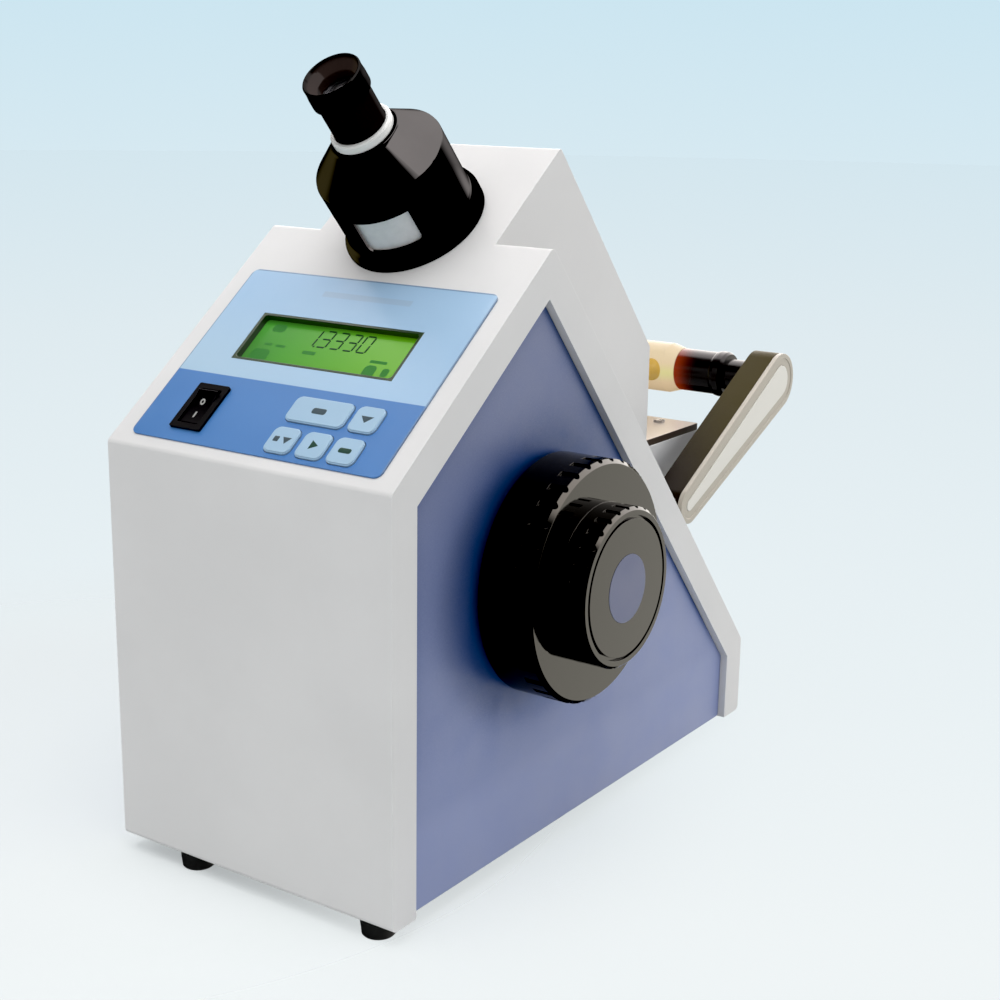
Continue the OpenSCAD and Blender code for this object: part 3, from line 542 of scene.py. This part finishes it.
def shade_by_angle(mesh, degrees):
    """Smooth faces, with edges sharper than an angle kept sharp."""
    bm = bmesh.new()
    bm.from_mesh(mesh)
    limit = math.radians(degrees)
    for face in bm.faces:
        face.smooth = True
    for edge in bm.edges:
        edge.smooth = len(edge.link_faces) == 2 and edge.calc_face_angle(0) < limit
    bm.to_mesh(mesh)
    bm.free()


WELD = 5e-6
# In these, faces that wrap round a hole are split before rounding, or they would fill wrongly.
SPLIT_FIRST = ("serial_socket", "lamp_arm")


def weigh_cap(bm, angle):
    """Marks the sharp edges of a key's cap for rounding; its hidden skirt stays sharp."""
    weight = bm.edges.layers.float.new("bevel_weight_edge")
    up = -key_axis
    top = max(v.co.dot(up) for v in bm.verts)
    for edge in bm.edges:
        on_cap = all(v.co.dot(up) > top - 0.3 * MM for v in edge.verts)
        sharp = edge.calc_face_angle(0) > math.radians(angle)
        edge[weight] = 1.0 if on_cap and sharp else 0.0


def soften(node, width, segments=2, angle=35):
    """Stands a copy of a CAD node in its place, with its sharp edges rounded."""
    bm = bmesh.new()
    bm.from_mesh(NODES[node].data)
    bmesh.ops.remove_doubles(bm, verts=bm.verts, dist=WELD)
    bmesh.ops.dissolve_degenerate(bm, dist=WELD, edges=bm.edges)
    bmesh.ops.dissolve_limit(bm, angle_limit=math.radians(0.4), verts=bm.verts, edges=bm.edges)
    if node in SPLIT_FIRST:
        bmesh.ops.connect_verts_concave(bm, faces=[f for f in bm.faces if len(f.verts) > 4])
    if node.startswith("key_"):
        weigh_cap(bm, angle)
    mesh = mesh_of(bm, node + "_soft")
    shade_by_angle(mesh, 30)
    key = next(k for k, members in MATERIAL_OF.items() if node in members)
    obj = piece(node + "_soft", mesh, key, BODY_OF[node])
    bevel = obj.modifiers.new("round", "BEVEL")
    bevel.width = width
    bevel.segments = segments
    bevel.limit_method = "WEIGHT" if node.startswith("key_") else "ANGLE"
    bevel.angle_limit = math.radians(angle)
    bevel.use_clamp_overlap = True
    bevel.miter_outer = "MITER_ARC"
    obj.modifiers.new("weigh", "WEIGHTED_NORMAL").keep_sharp = True
    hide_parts(node)


def add_slab(bm, matrix, outline, height):
    """A flat shape with a slightly domed edge: outline is a list of (x, y), raised by height along Z."""
    rings = ((1.0, 0.0), (1.0, 0.6), (0.93, 1.0))
    centre = sum((Vector(p) for p in outline), Vector((0, 0))) / len(outline)
    loops = []
    for scale, level in rings:
        points = [centre + (Vector(p) - centre) * scale for p in outline]
        loops.append([bm.verts.new(matrix @ Vector((p.x, p.y, level * height))) for p in points])
    count = len(outline)
    for lower, upper in zip(loops, loops[1:]):
        for i in range(count):
            j = (i + 1) % count
            bm.faces.new((lower[i], lower[j], upper[j], upper[i]))
    bm.faces.new(loops[-1])
    bm.faces.new(list(reversed(loops[0])))


def revolve(bm, matrix, profile, steps, radius_at=None):
    """A solid of revolution with flat ends: profile is a list of (radius, height), radius_at can flute it."""
    loops = []
    for r, h in profile:
        loop = []
        for i in range(steps):
            a = 2 * math.pi * i / steps
            radius = r if radius_at is None else radius_at(r, a)
            loop.append(bm.verts.new(matrix @ Vector((radius * math.cos(a), radius * math.sin(a), h))))
        loops.append(loop)
    for lower, upper in zip(loops, loops[1:]):
        for i in range(steps):
            j = (i + 1) % steps
            bm.faces.new((lower[i], lower[j], upper[j], upper[i]))
    bm.faces.new(list(reversed(loops[0])))
    bm.faces.new(loops[-1])


def rounded_outline(width, length, radius, steps=5, centre=(0, 0)):
    points = []
    for k, (sx, sy) in enumerate(((1, 1), (-1, 1), (-1, -1), (1, -1))):
        cx, cy = centre[0] + sx * (width / 2 - radius), centre[1] + sy * (length / 2 - radius)
        for i in range(steps + 1):
            a = math.pi / 2 * (k + i / steps)
            points.append((cx + radius * math.cos(a), cy + radius * math.sin(a)))
    return points


def finish_mesh(bm, name, angle=30):
    bmesh.ops.recalc_face_normals(bm, faces=bm.faces)
    mesh = mesh_of(bm, name)
    shade_by_angle(mesh, angle)
    return mesh


# ---------------------------------------------------------------- softened CAD pieces

SOFT_EDGES = {
    "main_casing": 0.9, "side_panel_right": 0.5, "side_panel_left": 0.5, "control_overlay": 0.15,
    "key_read": 0.35, "key_scale": 0.35, "key_left": 0.35, "key_middle": 0.35, "key_right": 0.35,
    "rocker_bezel": 0.3, "power_rocker": 0.35, "power_inlet": 0.4, "serial_socket": 0.3,
    "prism_box": 0.8, "prism_table": 0.4, "upper_prism_box": 1.0, "measuring_prism": 0.15,
    "illuminating_prism": 0.2, "lamp_arm": 0.9, "arm_rim_plate": 0.7, "arm_inlay": 0.25,
    "base_plate": 0.5, "lcd_bezel": 0.2, "handwheel": 0.35, "trim_ring": 0.3, "eyecup": 0.25,
    "dispersion_cup": 0.25,
}
for node, width in SOFT_EDGES.items():
    soften(node, width * MM)


# ---------------------------------------------------------------- display

# Segments of a digit, as (x, y, upright) in units of half a digit's width and height.
SEGMENTS = {
    "a": (0, 1, False), "g": (0, 0, False), "d": (0, -1, False),
    "f": (-1, 0.5, True), "b": (1, 0.5, True), "e": (-1, -0.5, True), "c": (1, -0.5, True),
}
DIGITS = {"0": "abcdef", "1": "bc", "3": "abcdg"}
SLANT = 0.12


def add_bar(bm, matrix, centre, length, width, upright, height):
    """A pointed display segment."""
    half, w = length / 2, width / 2
    outline = [(-half, 0), (-half + w, -w), (half - w, -w), (half, 0), (half - w, w), (-half + w, w)]
    if upright:
        outline = [(-y, x) for x, y in outline]
    outline = [(centre[0] + x + SLANT * (centre[1] + y), centre[1] + y) for x, y in outline]
    add_slab(bm, matrix, outline, height)


def display_reading():
    low, high = box_in("lcd_panel", SLOPE)
    centre = (low + high) / 2
    lift, ink = 0.02 * MM, 0.03 * MM
    face = SLOPE @ Matrix.Translation((centre.x, centre.y, high.z + lift))
    digit_w, digit_h, pitch, stroke = 5.2 * MM, 10.4 * MM, 8.0 * MM, 1.0 * MM
    gap = 0.3 * MM
    start = Vector((-14.0 * MM, 6.4 * MM))
    dark = bmesh.new()
    x = start.x
    for sign in "1.3330":
        if sign == ".":
            spot = (x - pitch / 2, start.y - digit_h / 2)
            add_slab(dark, face, rounded_outline(1.1 * MM, 1.1 * MM, 0.3 * MM, 3, spot), ink)
            continue
        for name in DIGITS[sign]:
            sx, sy, upright = SEGMENTS[name]
            middle = (x + sx * digit_w / 2, start.y + sy * digit_h / 2)
            length = (digit_h / 2 if upright else digit_w) - gap
            add_bar(dark, face, middle, length, stroke, upright, ink)
        x += pitch
    piece("lcd_reading", finish_mesh(dark, "lcd_reading"), "segment", "casing")
    # Plain icons that the display doesn't light fully: (x, y, width, height) in millimetres.
    faint = bmesh.new()
    icons = [
        (-37, 9.5, 8, 5), (-29, -1.5, 6, 1.6), (-37, -1.2, 5, 1.6), (-38, -8.5, 11, 8),
        (-10, -3.2, 8, 2.2), (32, -3, 10, 1.8), (30, -9, 7, 7.5), (39, -8.6, 4, 5),
    ]
    for cx, cy, w, h in icons:
        outline = rounded_outline(w * MM, h * MM, 0.35 * min(w, h) * MM, 5, (cx * MM, cy * MM))
        add_slab(faint, face, outline, 0.02 * MM)
    piece("lcd_icons", finish_mesh(faint, "lcd_icons"), "ghost", "casing")


display_reading()


# ---------------------------------------------------------------- keys and switch

def key_marks():
    bar = rounded_outline(7.0 * MM, 2.8 * MM, 1.1 * MM)
    wide_bar = rounded_outline(8.0 * MM, 3.4 * MM, 1.2 * MM)
    down = [(-3.6 * MM, 1.6 * MM), (0, -2.2 * MM), (3.6 * MM, 1.6 * MM)]
    right = [(-1.6 * MM, -2.6 * MM), (2.8 * MM, 0), (-1.6 * MM, 2.6 * MM)]
    square = rounded_outline(3.0 * MM, 3.0 * MM, 0.4 * MM, 3, (-3.2 * MM, 0))
    small_down = [(x * 0.7 + 2.6 * MM, y) for x, y in down]
    marks = {
        "read": [wide_bar], "scale": [down], "left": [square, small_down], "middle": [right], "right": [bar],
    }
    for key, outlines in marks.items():
        low, high = box_in("key_" + key, SLOPE)
        centre = (low + high) / 2
        top = SLOPE @ Matrix.Translation((centre.x, centre.y, high.z))
        bm = bmesh.new()
        for outline in outlines:
            add_slab(bm, top, outline, 0.06 * MM)
        mesh = finish_mesh(bm, "mark_" + key)
        ink = "mark_green" if key in ("middle", "right") else "mark"
        piece("mark_" + key, mesh, ink, key + "_key")


key_marks()


def rocker_marks():
    """The usual signs for off and on, a ring and a bar, on the two faces of the rocker."""
    pivot = Vector(JOINTS["power_rock"]["pos_m"])
    tilt = math.radians(7)
    rise = 1.2 / 9.6
    at_pivot = SLOPE.to_3x3().to_4x4()
    at_pivot.translation = pivot
    rocker = at_pivot @ Matrix.Rotation(tilt, 4, "X")
    bm = bmesh.new()
    for sign, place in ((1, 3.1 * MM), (-1, 4.4 * MM)):
        lift = 2.4 * MM + rise * place
        face = rocker @ Matrix.Translation((0, sign * place, lift))
        face = face @ Matrix.Rotation(sign * math.atan(rise), 4, "X")
        if sign > 0:
            outer, inner = 1.45 * MM, 0.7 * MM
            steps = 28
            rings = []
            for r, h in ((outer, 0), (outer, 0.05 * MM), (inner, 0.05 * MM), (inner, 0)):
                ring = []
                for i in range(steps):
                    a = 2 * math.pi * i / steps
                    ring.append(bm.verts.new(face @ Vector((r * math.cos(a), r * 1.15 * math.sin(a), h))))
                rings.append(ring)
            for a, b in zip(rings, rings[1:] + rings[:1]):
                for i in range(steps):
                    j = (i + 1) % steps
                    bm.faces.new((a[i], a[j], b[j], b[i]))
        else:
            add_slab(bm, face, rounded_outline(1.0 * MM, 3.6 * MM, 0.4 * MM), 0.05 * MM)
    piece("rocker_marks", finish_mesh(bm, "rocker_marks"), "mark_white", "rocker")


rocker_marks()


# ---------------------------------------------------------------- fasteners and contacts

def add_screw(bm, matrix, radius, height):
    """A pan head with a cross recess, standing on matrix's XY plane."""
    steps = 24
    profile = [(radius, 0), (radius, height * 0.45), (radius * 0.9, height * 0.8), (radius * 0.62, height)]
    revolve(bm, matrix, profile, steps)
    for turn in (0, math.pi / 2):
        arm = matrix @ Matrix.Translation((0, 0, height * 1.01)) @ Matrix.Rotation(turn, 4, "Z")
        slot = rounded_outline(radius * 1.05, radius * 0.24, radius * 0.06, 2)
        add_slab(bm, arm, slot, height * 0.03)


def connector_details():
    """Screws beside the mains inlet, hexagon nuts beside the serial socket, and the contacts of both."""
    inlet_low, inlet_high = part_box("power_inlet")
    socket_low, socket_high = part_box("serial_socket")
    out = Vector((0, 1, 0))
    screws, pins = bmesh.new(), bmesh.new()
    inlet = (inlet_low + inlet_high) / 2
    socket = (socket_low + socket_high) / 2
    screw_x, nut_x, nut_depth = 15.6 * MM, 12.5 * MM, 5.5 * MM
    nut = [(2.4 * MM, 0), (2.4 * MM, 3.6 * MM), (1.5 * MM, 4.0 * MM)]
    for side in (-1, 1):
        place = (inlet.x + side * screw_x, inlet_high.y, inlet.z)
        add_screw(screws, axes_at(place, X, out), 1.7 * MM, 1.1 * MM)
        hexagon = axes_at((socket.x + side * nut_x, socket_high.y - nut_depth, socket.z), X, out)
        revolve(screws, hexagon, nut, 6)
    blade_depth, blade_length = 16 * MM, 12 * MM
    blade = rounded_outline(2.0 * MM, 4.6 * MM, 0.4 * MM, 3)
    for dx, dz in ((-7, -2.5), (7, -2.5), (0, 2.5)):
        at = axes_at((inlet.x + dx * MM, inlet_high.y - blade_depth, inlet.z + dz * MM), X, out)
        add_slab(pins, at, blade, blade_length)
    pin_depth, pin_pitch = 5.0 * MM, 2.75 * MM
    pin = [(0.5 * MM, 0), (0.5 * MM, 3.6 * MM), (0.25 * MM, 4.1 * MM)]
    for row, count in ((1.4, 5), (-1.4, 4)):
        for i in range(count):
            x = socket.x + (i - (count - 1) / 2) * pin_pitch
            at = axes_at((x, socket_high.y - pin_depth, socket.z + row * MM), X, out)
            revolve(pins, at, pin, 10)
    piece("rear_screws", finish_mesh(screws, "rear_screws"), "steel", "casing")
    piece("connector_pins", finish_mesh(pins, "connector_pins"), "brass", "casing")


connector_details()


def knurled_lock():
    """The lock's knob gets a fluted grip and keeps its lever and spindle."""
    end_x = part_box("lock_knob")[1].x
    centre = Vector(JOINTS["lock_turn"]["pos_m"])

    def across_at(x):
        return axes_at((x, centre.y, centre.z), (0, 1, 0), X)

    flutes, depth, plain_radius = 20, 0.035, 7 * MM

    def waved(radius, angle):
        if radius < plain_radius:
            return radius
        return radius * (1 - depth * (0.5 - 0.5 * math.cos(flutes * angle)))

    bm = bmesh.new()
    profile = [
        (5.0, 0.0), (7.4, 0.0), (8.0, 0.7), (8.0, 7.2), (7.3, 8.2), (6.2, 8.6), (4.6, 8.3), (1.0, 8.2),
    ]
    revolve(bm, across_at(end_x - 8.7 * MM), [(r * MM, h * MM) for r, h in profile], 160, waved)
    lever = [(-3.0, -9.0), (3.0, -9.0), (2.4, -17.0), (1.2, -18.0), (-1.2, -18.0), (-2.4, -17.0)]
    add_slab(bm, across_at(end_x - 8.6 * MM), [(x * MM, y * MM) for x, y in lever], 3.4 * MM)
    spindle_x, spindle_radius, spindle_length = 17.3 * MM, 2.4 * MM, 5.2 * MM
    revolve(bm, across_at(spindle_x), [(spindle_radius, 0), (spindle_radius, spindle_length)], 24)
    obj = piece("lock_grip", finish_mesh(bm, "lock_grip", 40), "black", "lock")
    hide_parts("lock_knob")


knurled_lock()


# ---------------------------------------------------------------- stage, light and camera

BRIGHT_SIDE = (0.15, 0.85, 0.50)
FLOOR_RADIUS = 7.0
SHADOW_CENTRE = (-0.20, -0.10, 0)


def bright_mask(tree, direction):
    """1 where a direction looks at the bright rear of the studio, 0 on the camera's side."""
    dot = tree.nodes.new("ShaderNodeVectorMath")
    dot.operation = "DOT_PRODUCT"
    tree.links.new(direction, dot.inputs[0])
    dot.inputs[1].default_value = BRIGHT_SIDE
    ramp = tree.nodes.new("ShaderNodeMapRange")
    ramp.interpolation_type = "SMOOTHSTEP"
    tree.links.new(dot.outputs["Value"], ramp.inputs[0])
    ramp.inputs[1].default_value, ramp.inputs[2].default_value = 0.28, 0.46
    return ramp.outputs[0]


def floor():
    """A pale floor; it fades into the backdrop, and reflections see it bright only at the rear."""
    bm = bmesh.new()
    steps = 96
    centre = bm.verts.new((0, 0, 0))
    ring = []
    for i in range(steps):
        a = 2 * math.pi * i / steps
        ring.append(bm.verts.new((FLOOR_RADIUS * math.cos(a), FLOOR_RADIUS * math.sin(a), 0)))
    for i in range(steps):
        bm.faces.new((centre, ring[i], ring[(i + 1) % steps]))
    mesh = mesh_of(bm, "floor")
    obj = bpy.data.objects.new("floor", mesh)
    bpy.context.scene.collection.objects.link(obj)
    s = Shader("floor_paper")
    tree = s.tree
    tone = s.mix(s.noise(6, 3), (0.90, 0.93, 0.935), (0.92, 0.95, 0.955))
    s.set(Base_Color=tone, Roughness=0.8, Specular_IOR_Level=0.0)
    away = s.add("ShaderNodeVectorMath", operation="DISTANCE")
    s.put(away.inputs[0], s.place)
    away.inputs[1].default_value = SHADOW_CENTRE
    fade = s.step(away.outputs["Value"], 0.15, 0.40, 0.45, 0.95)
    path = s.add("ShaderNodeLightPath")
    backward = s.add("ShaderNodeVectorMath", operation="SCALE")
    s.put(backward.inputs[0], s.add("ShaderNodeNewGeometry").outputs["Incoming"])
    backward.inputs["Scale"].default_value = -1
    glow = s.add("ShaderNodeEmission")
    bright = bright_mask(tree, backward.outputs[0])
    s.put(glow.inputs["Color"], s.mix(bright, (0.01, 0.01, 0.01), (1.6, 1.55, 1.4)))
    seen = s.add("ShaderNodeMixShader")
    s.put(seen.inputs[0], path.outputs["Is Glossy Ray"])
    s.put(seen.inputs[1], s.bsdf.outputs[0])
    s.put(seen.inputs[2], glow.outputs[0])
    mixed = s.add("ShaderNodeMixShader")
    s.put(mixed.inputs[0], s.math("MULTIPLY", fade, path.outputs["Is Camera Ray"]))
    s.put(mixed.inputs[1], seen.outputs[0])
    s.put(mixed.inputs[2], s.add("ShaderNodeBsdfTransparent").outputs[0])
    s.put(tree.nodes["Material Output"].inputs["Surface"], mixed.outputs[0])
    mesh.materials.append(s.material)


def surroundings():
    """Pale blue for the camera and soft white for diffuse light; reflections see a bright rear half."""
    world = bpy.data.worlds.new("studio")
    bpy.context.scene.world = world
    world.use_nodes = True
    tree = world.node_tree

    def node(kind, **settings):
        made = tree.nodes.new(kind)
        for key, value in settings.items():
            setattr(made, key, value)
        return made

    def mix(factor, a, b):
        made = node("ShaderNodeMix", data_type="RGBA")
        tree.links.new(factor, made.inputs["Factor"])
        for socket, value in ((made.inputs["A"], a), (made.inputs["B"], b)):
            if isinstance(value, tuple):
                socket.default_value = (*value, 1)
            else:
                tree.links.new(value, socket)
        return made.outputs["Result"]

    direction = node("ShaderNodeTexCoord").outputs["Generated"]
    split = node("ShaderNodeSeparateXYZ")
    tree.links.new(direction, split.inputs[0])

    def by_height(start, end):
        ramp = node("ShaderNodeMapRange")
        tree.links.new(split.outputs["Z"], ramp.inputs[0])
        ramp.inputs[1].default_value, ramp.inputs[2].default_value = start, end
        return ramp.outputs[0]

    backdrop = mix(by_height(-0.48, -0.15), (0.87, 0.915, 0.925), (0.75, 0.845, 0.888))
    backdrop = mix(by_height(-0.15, 0.05), backdrop, (0.60, 0.785, 0.878))
    high = mix(by_height(-0.1, 0.8), (2.6, 2.5, 2.3), (6.4, 6.0, 5.9))
    reflected = mix(bright_mask(tree, direction), (0.004, 0.004, 0.003), high)
    path = node("ShaderNodeLightPath")
    seen = mix(path.outputs["Is Glossy Ray"], (0.47, 0.475, 0.48), reflected)
    seen = mix(path.outputs["Is Camera Ray"], seen, backdrop)
    tree.links.new(seen, tree.nodes["Background"].inputs["Color"])


def area(name, place, aim, size, energy):
    """A round soft light that reflections don't see."""
    light = bpy.data.lights.new(name, "AREA")
    light.shape = "DISK"
    light.size = size
    light.energy = energy
    obj = bpy.data.objects.new(name, light)
    obj.location = place
    obj.rotation_mode = "QUATERNION"
    obj.rotation_quaternion = (Vector(aim) - Vector(place)).to_track_quat("-Z", "Y")
    obj.visible_glossy = False
    bpy.context.scene.collection.objects.link(obj)


# Azimuth, elevation and roll in degrees, then place in metres and lens in millimetres.
CAMERA_ANGLES = (34.534, 14.596, 0.896)
CAMERA_PLACE = (0.50420, -0.69781, 0.38573)
CAMERA_LENS = 59.70


def camera():
    """A camera on the right of the front, slightly above, as a person standing at the bench sees it."""
    azimuth, elevation, roll = (math.radians(degrees) for degrees in CAMERA_ANGLES)
    level = Vector((math.cos(azimuth), math.sin(azimuth), 0))
    ahead = Vector((math.sin(azimuth), -math.cos(azimuth), 0))
    back = ahead * math.cos(elevation) + Vector((0, 0, math.sin(elevation)))
    right = level * math.cos(roll) + back.cross(level) * math.sin(roll)
    turn = Matrix((right, back.cross(right), back)).transposed()
    data = bpy.data.cameras.new("camera")
    data.sensor_width = 36
    data.lens = CAMERA_LENS
    data.clip_start, data.clip_end = 0.01, 50
    obj = bpy.data.objects.new("camera", data)
    obj.location = CAMERA_PLACE
    obj.rotation_mode = "QUATERNION"
    obj.rotation_quaternion = turn.to_quaternion()
    bpy.context.scene.collection.objects.link(obj)
    bpy.context.scene.camera = obj


floor()
surroundings()
middle = (0.0, 0.0, 0.18)
area("top_light", (0.0, -0.45, 1.5), middle, 1.5, 14)
area("side_light", (1.3, 0.9, 0.35), middle, 0.4, 3.6)
camera()
bpy.context.scene.view_settings.view_transform = "Standard"
bpy.context.scene.view_settings.look = "None"
bpy.context.scene.view_settings.use_curve_mapping = True
bpy.context.scene.view_settings.curve_mapping.black_level = (0.004, 0.004, 0.004)
